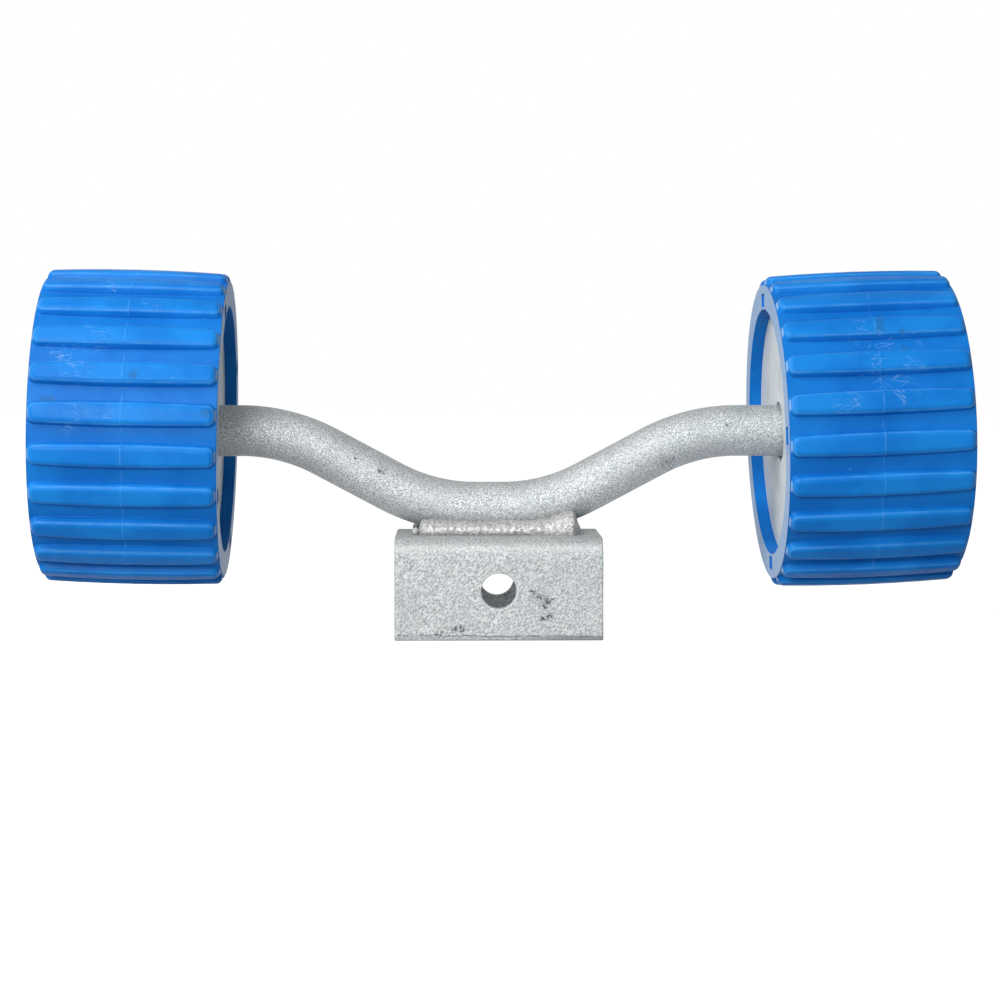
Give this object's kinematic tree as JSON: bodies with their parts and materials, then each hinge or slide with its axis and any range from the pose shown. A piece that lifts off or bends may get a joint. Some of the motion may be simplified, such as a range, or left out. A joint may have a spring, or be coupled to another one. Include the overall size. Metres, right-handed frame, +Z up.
{
  "type": "boat trailer roller assembly",
  "caption": "Twin wobble rollers for a boat trailer: ribbed soft rollers on a bent steel bar, welded onto a folded channel bracket with a cross pivot hole.",
  "frame": {"origin": "centre of the bracket's cross hole, halfway between its two plates", "axes": "+X along the bar's level ends and the rollers, +Y along the cross hole, +Z up from the bracket to the bar"},
  "size_m": [0.356, 0.1236, 0.1429],
  "materials": {
    "galvanised_bar": "hot-dip galvanised, grainy",
    "galvanised_plate": "hot-dip galvanised, grainy",
    "galvanised_weld": "galvanised over a welded bead",
    "blue_sleeve": "moulded soft plastic with a low sheen",
    "white_core": "moulded, satin",
    "zinc_fastener": "bright zinc plated"
  },
  "bodies": {
    "frame": {"axle_rod": "galvanised_bar", "bracket": "galvanised_plate", "weld_bead_front": "galvanised_weld", "weld_bead_rear": "galvanised_weld", "washers": "zinc_fastener", "split_pins": "zinc_fastener"},
    "left_roller": {"left_tyre": "blue_sleeve", "left_core": "white_core"},
    "right_roller": {"right_tyre": "blue_sleeve", "right_core": "white_core"}
  },
  "joints": [
    {"name": "left_roller_spin", "type": "hinge", "parent": "frame", "child": "left_roller", "pos_m": [-0.14087, 0, 0.0621], "axis": [0.9995, 0.0209, -0.0244], "continuous": true},
    {"name": "right_roller_spin", "type": "hinge", "parent": "frame", "child": "right_roller", "pos_m": [0.14087, 0, 0.0613], "axis": [0.9991, 0.0209, 0.0366], "continuous": true}
  ]
}
